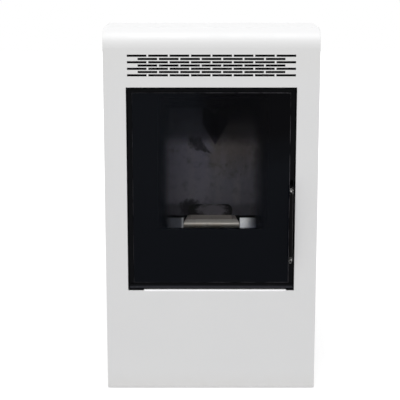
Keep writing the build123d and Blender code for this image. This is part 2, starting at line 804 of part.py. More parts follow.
def control_board():
    """Main board on four stand-offs, with its transformer, relays and terminal strips."""
    board = block(-234, -232.4, 190, 350, 420, 560)
    for y in (200, 340):
        for z in (430, 550):
            board += rod_x(3, -248, -233, y, z)
    board += block(-233, -200, 205, 250, 500, 545)
    for n in range(4):
        board += block(-233, -217, 265 + 20 * n, 279 + 20 * n, 515, 545)
        board += rod_x(5, -233, -212, 210 + 14 * n, 480)
    return board + block(-233, -221, 200, 340, 432, 442)


def power_inlet():
    """Flanged mains inlet with three blades in its socket and a bay for the rocker above it."""
    unit = block(149.3, 178.7, 452, depth, 61.3, 106.7) + block(144, 184, depth, depth + 2, 56, 112)
    unit -= block(153, 175, 465, depth + 3, 66, 82)
    for x, z in ((164, 76), (158, 71.5), (170, 71.5)):
        unit += block(x - 1, x + 1, 464, depth - 2, z - 2, z + 2)
    unit -= rod_x(1.55, 154.5, 173.5, depth - 1.5, 95.5)
    return unit - block(156.5, 171.5, 466, depth + 3, 86.5, 104.5)


def rocker_switch():
    """Rocker key, tilted to its off side, turning on pins in the inlet's bay."""
    key = [(-8.2, 3.5), (0, 1.6), (8.2, 3.5), (8.2, -2), (2, -5), (-2, -5), (-8.2, -2)]
    area = Plane.YZ * make_face(Polyline(*[(y, z) for z, y in key], close=True))
    body = Pos(157.2, 0, 0) * extrude(area, 13.6)
    body += rod_x(1.5, 155, 173, 0, 0)
    return Pos(0, depth - 1.5, 95.5) * Rot(10, 0, 0) * body


def safety_thermostat():
    body = rod_y(14, 164, 440, 468, 200) + rod_y(12, 164, 466, depth - sheet, 200)
    collar = rod_y(8.5, 164, 476, depth + 5, 200)
    return body + collar - rod_y(4.4, 164, 462, depth + 6, 200)


def reset_button():
    return rod_y(4, 164, 466, depth + 7.5, 200)


def build_parts():
    os.makedirs("parts", exist_ok=True)
    feet = {"front_left": (-205, 60), "front_right": (205, 60), "rear_left": (-205, 420), "rear_right": (205, 420)}
    for place, spot in feet.items():
        save(f"levelling_foot_{place}", levelling_foot(*spot))
    for n, spot in enumerate(key_places()):
        save(f"control_key_{n + 1}", control_key(*spot))
    save("front_panel", front_panel())
    save("side_panel_left", side_panel(-1))
    save("side_panel_right", side_panel(1))
    save("rear_panel", rear_panel())
    save("top_deck", top_deck())
    save("base_tray", base_tray())
    save("casing_screws", casing_screws())
    save("door_frame", door_frame())
    save("door_glass", door_glass())
    save("glass_seal", glass_seal())
    save("door_gasket", door_gasket())
    save("door_lever", door_lever())
    save("latch_keeper", latch_keeper())
    save("hinge_brackets", hinge_brackets())
    save("door_hinge_pins", door_hinge_pins())
    save("door_rest", door_rest())
    save("firebox_body", firebox_body())
    save("firebox_flange", firebox_flange())
    save("smoke_box", smoke_box())
    save("firebox_legs", firebox_legs())
    save("heat_exchanger_tubes", heat_exchanger_tubes())
    save("back_liner", back_liner())
    save("baffle_plate", baffle_plate())
    save("burn_pot_holder", burn_pot_holder())
    save("burn_pot", burn_pot())
    save("ash_drawer", ash_drawer())
    save("igniter", igniter())
    save("hopper", hopper())
    save("hopper_guard_bars", hopper_guard_bars())
    save("hopper_lid", hopper_lid())
    save("lid_seal", lid_seal())
    save("lid_hinges", lid_hinges())
    save("pellet_chute", pellet_chute())
    save("auger_tube", auger_tube())
    save("auger_screw", auger_screw())
    save("auger_gearmotor", auger_gearmotor())
    save("exhaust_housing", exhaust_housing())
    save("exhaust_impeller", exhaust_impeller())
    save("exhaust_motor", exhaust_motor())
    save("flue_spigot", flue_spigot())
    save("air_intake_pipe", air_intake_pipe())
    save("room_fan_housing", room_fan_housing())
    save("room_fan_impeller", room_fan_impeller())
    save("room_fan_motor", room_fan_motor())
    save("control_bezel", control_bezel())
    save("display_window", display_window())
    save("keypad_board", keypad_board())
    save("control_board", control_board())
    save("power_inlet", power_inlet())
    save("rocker_switch", rocker_switch())
    save("safety_thermostat", safety_thermostat())
    save("reset_button", reset_button())


build_parts()
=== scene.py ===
import bpy
import bmesh
import math
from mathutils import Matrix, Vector


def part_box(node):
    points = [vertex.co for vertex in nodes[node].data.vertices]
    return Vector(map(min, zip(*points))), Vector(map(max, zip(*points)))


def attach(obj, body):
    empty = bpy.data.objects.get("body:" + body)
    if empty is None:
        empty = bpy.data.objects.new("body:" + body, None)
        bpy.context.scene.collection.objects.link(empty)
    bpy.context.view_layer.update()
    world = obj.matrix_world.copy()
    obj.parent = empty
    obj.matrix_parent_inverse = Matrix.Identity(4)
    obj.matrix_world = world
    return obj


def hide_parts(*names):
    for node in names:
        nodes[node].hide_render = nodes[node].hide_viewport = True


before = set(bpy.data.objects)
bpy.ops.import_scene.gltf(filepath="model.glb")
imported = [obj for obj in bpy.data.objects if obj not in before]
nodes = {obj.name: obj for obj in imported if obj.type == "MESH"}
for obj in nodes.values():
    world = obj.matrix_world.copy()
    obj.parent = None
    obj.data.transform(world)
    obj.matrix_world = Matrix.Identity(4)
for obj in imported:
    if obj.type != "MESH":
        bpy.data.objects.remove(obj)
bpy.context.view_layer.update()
frontY = -0.24725  # the casing's front face
print("frame loaded:", len(nodes), "CAD nodes")


class Wire:  # one output of a node, so that sums of wires read like sums of numbers
    def __init__(self, tree, socket):
        self.tree = tree
        self.socket = socket

    def math(self, operation, *values):
        return self.tree.node("ShaderNodeMath", {"operation": operation}, values)

    def __add__(self, other):
        return self.math("ADD", self, other)

    def __radd__(self, other):
        return self.math("ADD", other, self)

    def __sub__(self, other):
        return self.math("SUBTRACT", self, other)

    def __rsub__(self, other):
        return self.math("SUBTRACT", other, self)

    def __mul__(self, other):
        return self.math("MULTIPLY", self, other)

    def __rmul__(self, other):
        return self.math("MULTIPLY", other, self)

    def __truediv__(self, other):
        return self.math("DIVIDE", self, other)

    def __rtruediv__(self, other):
        return self.math("DIVIDE", other, self)

    def __pow__(self, other):
        return self.math("POWER", self, other)

    def __rpow__(self, other):
        return self.math("POWER", other, self)

    def __abs__(self):
        return self.math("ABSOLUTE", self)

    def clamped(self):
        return self.tree.node("ShaderNodeClamp", {}, {"Value": self})


class Tree:  # the nodes of one material, or of the world
    def __init__(self, owner):
        owner.use_nodes = True
        self.nodeTree = owner.node_tree
        self.nodeTree.nodes.clear()

    def node(self, kind, settings, values, out=0):
        made = self.nodeTree.nodes.new(kind)
        for key, value in settings.items():
            setattr(made, key, value)
        for key, value in (values.items() if isinstance(values, dict) else enumerate(values)):
            if isinstance(value, Wire):
                self.nodeTree.links.new(value.socket, made.inputs[key])
            else:
                made.inputs[key].default_value = value
        return Wire(self, made.outputs[out]) if len(made.outputs) else made

    def seenDirectly(self):  # 1 for camera, glossy and transmitted rays, 0 for the light that falls on things
        kinds = ("Is Camera Ray", "Is Glossy Ray", "Is Transmission Ray")
        camera, glossy, through = [self.node("ShaderNodeLightPath", {}, {}, kind) for kind in kinds]
        return (camera + glossy + through).clamped()


class Paint(Tree):  # one material, laid out in the stove's own metres
    def __init__(self, name):
        self.material = bpy.data.materials.new(name)
        super().__init__(self.material)
        self.place = self.node("ShaderNodeTexCoord", {}, {}, "Object")

    def axis(self, name):
        return self.node("ShaderNodeSeparateXYZ", {}, (self.place,), name)

    def depth(self):  # how far behind the casing's front face
        return self.axis("Y") - frontY

    def stretched(self, x, y, z):
        return self.node("ShaderNodeVectorMath", {"operation": "MULTIPLY"}, (self.place, (x, y, z)))

    def noise(self, scale, detail=4, rough=0.55, where=None):
        return self.node("ShaderNodeTexNoise", {}, {
            "Vector": where or self.place, "Scale": scale, "Detail": detail, "Roughness": rough})

    def cells(self, scale, out="Distance"):
        return self.node("ShaderNodeTexVoronoi", {}, {"Vector": self.place, "Scale": scale}, out)

    def between(self, value, low, high, outLow=0.0, outHigh=1.0):  # smooth step from low to high
        return self.node("ShaderNodeMapRange", {"interpolation_type": "SMOOTHSTEP"}, {
            "Value": value, "From Min": low, "From Max": high, "To Min": outLow, "To Max": outHigh})

    def spread(self, noise, low, high):  # a value that follows a noise over its usual range
        return self.between(noise, 0.3, 0.7, low, high)

    def below(self, value, low, high):  # 1 up to low, 0 from high on
        return self.between(value, low, high, 1, 0)

    def band(self, value, start, full, fading, gone):  # 0 before start, 1 from full to fading, 0 once gone
        return self.between(value, start, full) * self.below(value, fading, gone)

    def island(self, across, upright, ragged, inner, outer):  # an oval of radius 1 with a ragged shore
        return self.below(across ** 2 + upright ** 2 + ragged, inner, outer)

    def mixed(self, amount, first, second):
        first = first if isinstance(first, Wire) else (*first, 1)
        second = second if isinstance(second, Wire) else (*second, 1)
        return self.node("ShaderNodeMix", {"data_type": "RGBA"}, {0: amount, 6: first, 7: second}, 2)

    def bump(self, height, depth, strength, under=None):
        values = {"Height": height, "Distance": depth, "Strength": strength}
        if under:
            values["Normal"] = under
        return self.node("ShaderNodeBump", {}, values, "Normal")

    def finish(self, **values):
        sockets = {key.replace("_", " "): value for key, value in values.items()}
        return self.output(self.node("ShaderNodeBsdfPrincipled", {}, sockets))

    def output(self, shader):
        self.node("ShaderNodeOutputMaterial", {}, {"Surface": shader})
        return self.material


def dress(material, *names):
    for name in names:
        for materialSlot in nodes[name].material_slots:
            materialSlot.material = material


# In the dictionaries below, a name ending in X, Y, Z or Depth holds the places, in metres, between which a mark comes
# in or fades: two for one edge of it, four for both. Depth is measured back from the casing's front face.

# White powder coat: a fine orange peel, uneven gloss, a little warmth over the grille, dust at the foot and a rolled
# sill under the door painted whiter than the rest as a painted highlight where it catches the light from above
whiteCoat = {
    "colour": (0.80, 0.80, 0.803), "cool": (0.70, 0.71, 0.73), "warm": (0.80, 0.79, 0.765), "dust": (0.72, 0.70, 0.67),
    "sill": (0.95, 0.95, 0.96), "warmZ": (0.735, 0.80, 0.80, 0.862), "warmDepth": (-0.01, 0.03), "dustZ": (0, 0.05),
    "sillX": (-0.159, -0.157, 0.176, 0.178), "sillZ": (0.2435, 0.2455, 0.2478, 0.2482), "sillDepth": (0.007, 0.008),
    "rough": (0.36, 0.46), "peel": 0.00025, "wave": 0.0008, "shine": 0.45}


def whitePaint():
    paint = Paint("whitePowderCoat")
    x, z, depth = paint.axis("X"), paint.axis("Z"), paint.depth()
    cloud = paint.noise(5, 3)
    nearGrille = paint.band(z, *whiteCoat["warmZ"]) * paint.below(depth, *whiteCoat["warmDepth"])
    nearFloor = paint.below(z, *whiteCoat["dustZ"])
    colour = paint.mixed(nearGrille * cloud * 0.5, whiteCoat["colour"], whiteCoat["warm"])
    colour = paint.mixed(nearFloor * paint.noise(40, 6) * 0.5, colour, whiteCoat["dust"])
    colour = paint.mixed(paint.between(cloud, 0.35, 0.7) * 0.06, colour, whiteCoat["cool"])
    # painted highlight: the rolled sill under the door is painted whiter where it catches the light from above
    onSillHighlight = paint.band(x, *whiteCoat["sillX"]) * paint.band(z, *whiteCoat["sillZ"])
    colour = paint.mixed(onSillHighlight * paint.below(depth, *whiteCoat["sillDepth"]), colour, whiteCoat["sill"])
    rough = paint.spread(paint.noise(14, 5), *whiteCoat["rough"])
    peel = paint.bump(paint.noise(700, 2, 0.4), whiteCoat["peel"], 0.35)
    wave = paint.bump(paint.noise(9, 1), whiteCoat["wave"], 0.25, peel)
    return paint.finish(Base_Color=colour, Roughness=rough, Normal=wave, Specular_IOR_Level=whiteCoat["shine"])


# Satin black heat-proof paint: rubbed a little in patches, and the bottom rail lightened by settled dust and by a
# painted highlight where it faces the light
blackCoat = {
    "colour": (0.0018, 0.0020, 0.0028), "worn": (0.010, 0.0097, 0.0097), "speckled": (0.0065, 0.0065, 0.0072),
    "dust": (0.031, 0.032, 0.038), "dustZ": (0.2495, 0.2505, 0.2540, 0.2575),
    "rough": (0.30, 0.48), "grain": 0.00012, "shine": 0.045}


def blackPaint():
    paint = Paint("blackHeatPaint")
    speck = paint.noise(240, 5, 0.7)
    rub = paint.between(paint.noise(28, 6, 0.65), 0.58, 0.76)
    colour = paint.mixed(rub * 0.35, blackCoat["colour"], blackCoat["worn"])
    colour = paint.mixed(paint.between(speck, 0.45, 0.75) * 0.4, colour, blackCoat["speckled"])
    # dust and painted highlight: the bottom rail is lightened, partly settled dust and partly a painted highlight
    # where it faces the light
    railDustAndHighlight = paint.band(paint.axis("Z"), *blackCoat["dustZ"])
    colour = paint.mixed(railDustAndHighlight * paint.between(speck, 0.3, 0.6, 0.7, 0.95), colour, blackCoat["dust"])
    rough = paint.spread(paint.noise(60, 4), *blackCoat["rough"]) + rub * 0.08
    return paint.finish(Base_Color=colour, Roughness=rough, Normal=paint.bump(speck, blackCoat["grain"], 0.35),
                        Specular_IOR_Level=blackCoat["shine"])


# Satin enamel of the flue and air spigots: a bright rubbed rim where pipes are pushed on, drawn lines along the pipe
pipeLook = {
    "black": (0.013, 0.013, 0.014), "rubbed": (0.085, 0.084, 0.083), "stain": (0.05, 0.045, 0.042),
    "rimY": (0.25075, 0.27275), "rough": (0.34, 0.48), "grain": 0.0001, "shine": 0.4}


def pipeEnamel():
    paint = Paint("pipeEnamel")
    drawn = paint.noise(150, 4, 0.6, paint.stretched(1.0, 0.08, 1.0))
    rubbed = paint.between(paint.axis("Y"), *pipeLook["rimY"]) * paint.between(drawn, 0.5, 0.7)
    stained = paint.between(paint.noise(45, 6, 0.7), 0.55, 0.75)
    colour = paint.mixed(rubbed * 0.6, pipeLook["black"], pipeLook["rubbed"])
    colour = paint.mixed(stained * 0.3, colour, pipeLook["stain"])
    rough = paint.spread(drawn, *pipeLook["rough"])
    grain = paint.bump(paint.noise(500, 3), pipeLook["grain"], 0.35)
    return paint.finish(Base_Color=colour, Roughness=rough, Normal=grain, Specular_IOR_Level=pipeLook["shine"])


# Black enamel of the handle, rubbed through to bright metal at its upper bend and at its foot on the side facing
# forward: these bright chips are painted glints where the bends catch the light
leverLook = {
    "black": (0.0014, 0.0014, 0.0018), "metal": (0.52, 0.51, 0.50), "bendGlintZ": (0.484, 0.489, 0.497, 0.500),
    "footGlintZ": (0.310, 0.316, 0.332, 0.336), "forwardDepth": (-0.019, -0.014),
    "rough": (0.20, 0.30), "hairline": 0.00006, "shine": 0.045}


def leverEnamel():
    paint = Paint("leverEnamel")
    z = paint.axis("Z")
    # painted glints: bare-metal chips at the bends, only on the side facing forward
    glintEnds = paint.band(z, *leverLook["bendGlintZ"]) + paint.band(z, *leverLook["footGlintZ"])
    glintChips = paint.between(paint.noise(210, 3, 0.6), 0.545, 0.595)
    rubbed = (glintEnds * glintChips * paint.below(paint.depth(), *leverLook["forwardDepth"])).clamped()
    hairline = paint.noise(320, 3, 0.5, paint.stretched(1.0, 1.0, 0.1))
    colour = paint.mixed(rubbed * 0.9, leverLook["black"], leverLook["metal"])
    rough = paint.spread(hairline, *leverLook["rough"]) + rubbed * 0.12
    scratched = paint.bump(hairline, leverLook["hairline"], 0.3)
    return paint.finish(Base_Color=colour, Roughness=rough, Metallic=rubbed * 0.85, Normal=scratched,
                        Specular_IOR_Level=leverLook["shine"])


# Steel and iron inside the fire: violet patches, brown heat scale, pale ash film and soot
fireLook = {
    "iron": (0.085, 0.082, 0.085), "violet": (0.095, 0.08, 0.11), "scale": (0.12, 0.08, 0.06),
    "ash": (0.20, 0.19, 0.185), "soot": (0.014, 0.013, 0.014),
    "chute": (0.035, 0.033, 0.036), "drawer": (0.055, 0.054, 0.056),
    "rough": (0.62, 0.92), "crust": 0.002, "grain": 0.0004}


def fireIron(name, iron, ash):
    paint = Paint(name)
    blotch = paint.noise(34, 7, 0.72)
    patch = paint.noise(11, 4, 0.6)
    streak = paint.noise(26, 5, 0.6, paint.stretched(1.0, 1.0, 0.35))
    sooted = paint.between(paint.noise(17, 6, 0.7), 0.58, 0.7)
    colour = paint.mixed(paint.between(patch, 0.38, 0.66), iron, fireLook["violet"])
    colour = paint.mixed(paint.between(blotch, 0.5, 0.72) * 0.75, colour, fireLook["scale"])
    colour = paint.mixed(paint.between(streak, 0.5, 0.75) * ash, colour, fireLook["ash"])
    colour = paint.mixed(sooted * 0.85, colour, fireLook["soot"])
    rough = paint.spread(blotch, *fireLook["rough"])
    grain = paint.bump(paint.noise(300, 4), fireLook["grain"], 0.4)
    return paint.finish(Base_Color=colour, Roughness=rough, Normal=paint.bump(blotch, fireLook["crust"], 0.5, grain))


# Cast back panel: violet-grey ash film, tan scale high on the right, soot above the chute on the right, painted shade
# towards both sides, and darker in a tapered streak beside the chute, along the foot and round the pot's back plate
linerLook = {
    "violet": (0.34, 0.33, 0.415), "grey": (0.258, 0.252, 0.306), "tan": (0.290, 0.256, 0.258),
    "pale": (0.44, 0.425, 0.46), "scale": (0.10, 0.075, 0.065), "film": (0.80, 0.79, 0.86),
    "soot": (0.030, 0.027, 0.034), "rightX": (0.004, 0.024), "tanZ": (0.47, 0.55), "filmZ": (0.42, 0.53),
    "sideShadeLeftX": (-0.10, -0.035), "sideShadeRightX": (0.085, 0.135),
    "upperSootX": (-0.012, 0.008), "upperSootZ": (0.618, 0.655),
    "footDarkX": (0, 0.06), "footDarkZ": (0.408, 0.420),
    "wedgeAt": (-0.026, 0.562), "wedgeTilt": 35, "wedgeLong": 0.031, "wedgeTaper": (-0.024, 0.034, 0.0185, 0.0035),
    "potDarkAt": (-0.052, 0.404), "potDarkWide": (0.024, 0.022),
    "rough": (0.66, 0.92), "crust": 0.0015, "grain": 0.0004}


def backLinerIron():
    paint = Paint("backLinerIron")
    x, z = paint.axis("X"), paint.axis("Z")
    drift = paint.noise(24, 5, 0.65)
    blotch = paint.noise(42, 6, 0.7)
    streak = paint.noise(30, 5, 0.6, paint.stretched(1.0, 1.0, 0.22))
    ragged = paint.noise(130, 6, 0.72, paint.stretched(1.0, 1.0, 0.6))
    soot = linerLook["soot"]

    highUp = paint.between(z + (drift - 0.5) * 0.10, *linerLook["tanZ"])
    rightward = paint.between(x + drift * 0.03, *linerLook["rightX"])
    colour = paint.mixed(rightward, linerLook["violet"], paint.mixed(highUp, linerLook["grey"], linerLook["tan"]))
    colour = paint.mixed(paint.between(streak, 0.46, 0.7) * 0.5, colour, linerLook["pale"])
    colour = paint.mixed(paint.between(blotch, 0.48, 0.72) * 0.45, colour, linerLook["scale"])
    # painted shade: the panel darkens towards both sides, the left more than the right
    sideShade = paint.between(x, *linerLook["sideShadeRightX"]) * 0.12 + paint.below(x, *linerLook["sideShadeLeftX"]) * 0.20
    colour = paint.mixed(sideShade, colour, soot)
    colour = paint.mixed(paint.below(z, *linerLook["filmZ"]) * 0.14, colour, linerLook["film"])

    upper = paint.between(z + ragged * 0.03, *linerLook["upperSootZ"])
    upper = upper * paint.between(x + drift * 0.02, *linerLook["upperSootX"])
    colour = paint.mixed(upper * 0.66, colour, soot)

    # a dark tapered streak beside the chute, in the colour called soot
    wedgeX, wedgeZ = linerLook["wedgeAt"]
    tilt = math.radians(linerLook["wedgeTilt"])
    along = (x - wedgeX) * math.cos(tilt) - (z - wedgeZ) * math.sin(tilt)
    across = (x - wedgeX) * math.sin(tilt) + (z - wedgeZ) * math.cos(tilt)
    taper = paint.between(along, *linerLook["wedgeTaper"])  # broad at its upper left, a point at its lower right
    darkWedge = paint.island(along / linerLook["wedgeLong"], across / taper, (ragged - 0.5) * 3.0, 0.4, 1.6)
    colour = paint.mixed(darkWedge * paint.between(ragged, 0.3, 0.65, 0.95, 0.7), colour, soot)

    # darker along the foot, more on the left than on the right
    foot = paint.below(z + (drift - 0.5) * 0.012, *linerLook["footDarkZ"])
    colour = paint.mixed(foot * paint.between(x, *linerLook["footDarkX"], 0.62, 0.40), colour, soot)

    # darker round the pot's back plate
    (potX, potZ), (wideX, wideZ) = linerLook["potDarkAt"], linerLook["potDarkWide"]
    darkByPot = paint.island((x - potX) / wideX, (z - potZ) / wideZ, (ragged - 0.5) * 3.4, 0.4, 1.7)
    colour = paint.mixed(darkByPot * 0.9, colour, soot)

    rough = paint.spread(blotch, *linerLook["rough"])
    grain = paint.bump(paint.noise(280, 4), linerLook["grain"], 0.4)
    return paint.finish(Base_Color=colour, Roughness=rough, Normal=paint.bump(blotch, linerLook["crust"], 0.45, grain))


# Stainless pot: a rolled front with straw and blue heat colours, a painted highlight on its collar with painted
# shade just below it, duller in the cup, and a back plate dark round a paler middle
potLook = {
    "steel": (0.70, 0.675, 0.62), "straw": (0.64, 0.55, 0.42), "blue": (0.22, 0.25, 0.36),
    "speck": (0.16, 0.125, 0.10), "paintedHighlight": (0.92, 0.89, 0.83), "inner": (0.78, 0.72, 0.68),
    "film": (0.30, 0.285, 0.325), "innerDepth": (0.1255, 0.1305), "cupZ": (0.366, 0.377),
    "collarZ": (0.3835, 0.3875), "shadeBelowCollarZ": (0.3800, 0.3860), "shadeRiseZ": (0.371, 0.379), "dull": (0.15, 0.62),
    "plateDepth": (0.1975, 0.199), "plateZ": (0.3850, 0.3875), "middleAt": (0.005, 0.399), "middleWide": (0.034, 0.0150),
    "rough": (0.50, 0.62), "brush": 0.0002}


def potSteel():
    paint = Paint("burnPotSteel")
    x, z, depth = paint.axis("X"), paint.axis("Z"), paint.depth()
    brush = paint.noise(400, 3, 0.5, paint.stretched(0.05, 1.0, 1.0))
    heat = paint.noise(20, 3, 0.5)
    speck = paint.noise(75, 6, 0.72)
    ragged = paint.noise(120, 6, 0.7, paint.stretched(0.5, 1.0, 1.0))
    inward = paint.between(depth + (heat - 0.5) * 0.004, *potLook["innerDepth"])
    inCup = paint.below(z + (speck - 0.5) * 0.006, *potLook["cupZ"]) * inward
    onPlate = paint.between(depth, *potLook["plateDepth"]) * paint.between(z, *potLook["plateZ"])
    # painted highlight on the collar, with less metal so that it reads bright, and painted shade just below it
    onCollarHighlight = paint.between(z, *potLook["collarZ"])
    shadeBelowCollar = paint.below(z, *potLook["shadeBelowCollarZ"]) * paint.between(z, *potLook["shadeRiseZ"], *potLook["dull"])

    colour = paint.mixed(paint.between(heat, 0.42, 0.62) * 0.6, potLook["steel"], potLook["straw"])
    colour = paint.mixed(paint.between(heat, 0.62, 0.72) * 0.4, colour, potLook["blue"])
    colour = paint.mixed(paint.between(speck, 0.54, 0.70) * 0.6, colour, potLook["speck"])
    colour = paint.mixed(onCollarHighlight * 0.7, colour, potLook["paintedHighlight"])
    colour = paint.mixed(shadeBelowCollar, colour, fireLook["soot"])
    colour = paint.mixed(inward, colour, potLook["inner"])
    colour = paint.mixed(inCup * 0.95, colour, fireLook["soot"])
    # the back plate: dark, with a paler middle in the colour called film
    (filmX, filmZ), (wideX, wideZ) = potLook["middleAt"], potLook["middleWide"]
    paleMiddle = paint.island((x - filmX) / wideX, (z - filmZ) / wideZ, (ragged - 0.5) * 3.0, 0.5, 1.8)
    colour = paint.mixed(onPlate, colour, paint.mixed(paleMiddle, fireLook["soot"], potLook["film"]))

    bare = (1 - inward) + inward * (1 - inCup) * (1 - onPlate) * 0.45
    metal = (paint.between(speck, 0.45, 0.8, 0.92, 0.5) * bare * (1 - onCollarHighlight * 0.55)).clamped()
    rough = (paint.spread(brush, *potLook["rough"]) + inward * 0.15).clamped()
    brushed = paint.bump(brush, potLook["brush"], 0.3)
    return paint.finish(Base_Color=colour, Roughness=rough, Metallic=metal, Normal=brushed)


# Pot holder: sooted black; painted reflection makes its right cheek bright, fading towards its right end, and puts a
# bright strip on its blued left cheek by the pot, which is otherwise darkened as painted shade
holderLook = {
    "bright": (0.80, 0.82, 0.83), "bluedAndShaded": (0.052, 0.056, 0.070), "cheekDepth": (0.1215, 0.1245),
    "cheekZ": (0.362, 0.372), "reflectionX": (0.02, 0.04), "reflectionEndX": (0.078, 0.112),
    "edgeHighlightX": (-0.0745, -0.0665, -0.03, -0.01), "rough": (0.28, 0.42), "brush": 0.0002}


def holderSteel():
    paint = Paint("potHolderSteel")
    x, z = paint.axis("X"), paint.axis("Z")
    brush = paint.noise(380, 3, 0.5, paint.stretched(1.0, 1.0, 0.06))
    cloud = paint.noise(26, 4, 0.6)
    cheek = paint.below(paint.depth(), *holderLook["cheekDepth"])
    cheek = cheek * paint.between(z + cloud * 0.012, *holderLook["cheekZ"])
    # painted reflection: bright metal on the right cheek fading towards its right end and a bright strip on the left
    # cheek by the pot; the rest of the left cheek is blued and darkened as painted shade
    bright = paint.between(x, *holderLook["reflectionX"])
    bright = bright * paint.between(x + (cloud - 0.5) * 0.01, *holderLook["reflectionEndX"], 1, 0.05)
    bright = (bright + paint.band(x, *holderLook["edgeHighlightX"]) * 0.5).clamped()
    colour = paint.mixed(bright, holderLook["bluedAndShaded"], holderLook["bright"])
    colour = paint.mixed(paint.between(cloud, 0.52, 0.72) * 0.4, colour, potLook["blue"])
    colour = paint.mixed(1 - cheek, colour, fireLook["soot"])
    rough = paint.spread(brush, *holderLook["rough"]) + (1 - cheek) * 0.4
    brushed = paint.bump(brush, holderLook["brush"], 0.25)
    return paint.finish(Base_Color=colour, Roughness=rough, Metallic=cheek * (bright * 0.35 + 0.6), Normal=brushed)


# Zinc-plated sheet and screws: faint spangle, dull patches
zincLook = {
    "bright": (0.60, 0.62, 0.64), "dull": (0.42, 0.43, 0.45), "stain": (0.36, 0.34, 0.32),
    "rough": (0.3, 0.52), "metal": 0.9, "grain": 0.0001}


def zincSteel():
    paint = Paint("zincPlatedSteel")
    spangle = paint.node("ShaderNodeRGBToBW", {}, {"Color": paint.cells(90, "Color")})
    stained = paint.between(paint.noise(18, 6), 0.55, 0.8)
    colour = paint.mixed(spangle, zincLook["bright"], zincLook["dull"])
    colour = paint.mixed(stained * 0.5, colour, zincLook["stain"])
    rough = paint.between(spangle + paint.noise(120, 3) * 0.4, 0.2, 1.1, *zincLook["rough"])
    grain = paint.bump(paint.noise(500, 2), zincLook["grain"], 0.3)
    return paint.finish(Base_Color=colour, Roughness=rough, Metallic=zincLook["metal"], Normal=grain)


# Cast aluminium of the motors: a fine sandy skin
castLook = {
    "bright": (0.55, 0.56, 0.58), "dull": (0.40, 0.40, 0.41), "rough": (0.4, 0.62), "metal": 0.85, "sand": 0.0003}


def castAluminium():
    paint = Paint("castAluminium")
    sand = paint.noise(900, 3, 0.6)
    colour = paint.mixed(paint.between(paint.noise(25, 5), 0.4, 0.75), castLook["bright"], castLook["dull"])
    rough = paint.spread(sand, *castLook["rough"])
    return paint.finish(Base_Color=colour, Roughness=rough, Metallic=castLook["metal"],
                        Normal=paint.bump(sand, castLook["sand"], 0.5))


# Moulded plastics and the foam seal: a fine cell texture, and a worn shade in patches
plastics = {
    "blackPlastic": {"colour": (0.014, 0.014, 0.015), "worn": (0.024, 0.024, 0.026), "rough": 0.5, "shine": 0.2},
    "switchPlastic": {"colour": (0.030, 0.030, 0.032), "worn": (0.042, 0.042, 0.044), "rough": 0.35, "shine": 0.35},
    "greyKeys": {"colour": (0.42, 0.43, 0.45), "worn": (0.36, 0.37, 0.39), "rough": 0.42, "shine": 0.5},
    "displayPane": {"colour": (0.003, 0.004, 0.009), "worn": (0.005, 0.006, 0.011), "rough": 0.12, "shine": 0.1},
    "foamSeal": {"colour": (0.03, 0.03, 0.03), "worn": (0.05, 0.05, 0.05), "rough": 0.9, "shine": 0.5},
    "signPrint": {"colour": (0.020, 0.020, 0.023), "worn": (0.032, 0.032, 0.034), "rough": 0.5, "shine": 0.2}}
plasticSkin = {"cells": 1100, "deep": 0.0002, "unevenness": 0.08}


def mouldedPlastic(name):
    look, uneven = plastics[name], plasticSkin["unevenness"]
    paint = Paint(name)
    texture = paint.bump(paint.cells(plasticSkin["cells"]), plasticSkin["deep"], 0.4)
    colour = paint.mixed(paint.between(paint.noise(35, 5), 0.45, 0.75) * 0.5, look["colour"], look["worn"])
    rough = paint.spread(paint.noise(80, 3), look["rough"] - uneven, look["rough"] + uneven)
    return paint.finish(Base_Color=colour, Roughness=rough, Normal=texture, Specular_IOR_Level=look["shine"])


# Circuit board: green mask, paler copper tracks running across it, tinned specks
boardLook = {
    "mask": (0.012, 0.10, 0.04, 1), "maskShade": (0.016, 0.13, 0.05, 1), "track": (0.05, 0.26, 0.11, 1),
    "tin": (0.55, 0.57, 0.58), "tracks": 60, "trackWide": 0.04, "specks": 420, "coat": 0.3}


def boardMaterial():
    paint = Paint("solderMaskGreen")
    tracks = paint.node("ShaderNodeTexBrick", {}, {
        "Vector": paint.place, "Scale": boardLook["tracks"], "Mortar Size": boardLook["trackWide"],
        "Color1": boardLook["mask"], "Color2": boardLook["maskShade"], "Mortar": boardLook["track"]})
    speck = paint.below(paint.cells(boardLook["specks"]), 0.0, 0.16)
    return paint.finish(Base_Color=paint.mixed(speck, tracks, boardLook["tin"]), Metallic=speck * 0.8,
                        Roughness=paint.between(speck, 0, 1, 0.35, 0.25), Coat_Weight=boardLook["coat"])


# Igniter: pale ceramic, scorched at the end that reaches the pot
ceramicLook = {
    "pale": (0.70, 0.67, 0.62), "scorched": (0.10, 0.08, 0.07), "tipDepth": (0.196, 0.215),
    "rough": (0.6, 0.8), "grain": 0.0002}


def ceramicMaterial():
    paint = Paint("ignitionCeramic")
    scorch = paint.below(paint.depth(), *ceramicLook["tipDepth"])
    colour = paint.mixed(scorch * paint.noise(60, 5), ceramicLook["pale"], ceramicLook["scorched"])
    rough = paint.spread(paint.noise(90), *ceramicLook["rough"])
    grain = paint.bump(paint.noise(500, 3), ceramicLook["grain"], 0.4)
    return paint.finish(Base_Color=colour, Roughness=rough, Normal=grain)


# Glass-fibre rope and tape: grey yarn, sooted in patches
ropeLook = {
    "yarn": (0.075, 0.075, 0.075), "pale": (0.20, 0.195, 0.19), "soot": (0.02, 0.019, 0.018),
    "rough": (0.8, 0.95), "fibre": 0.0004, "sheen": 0.15}


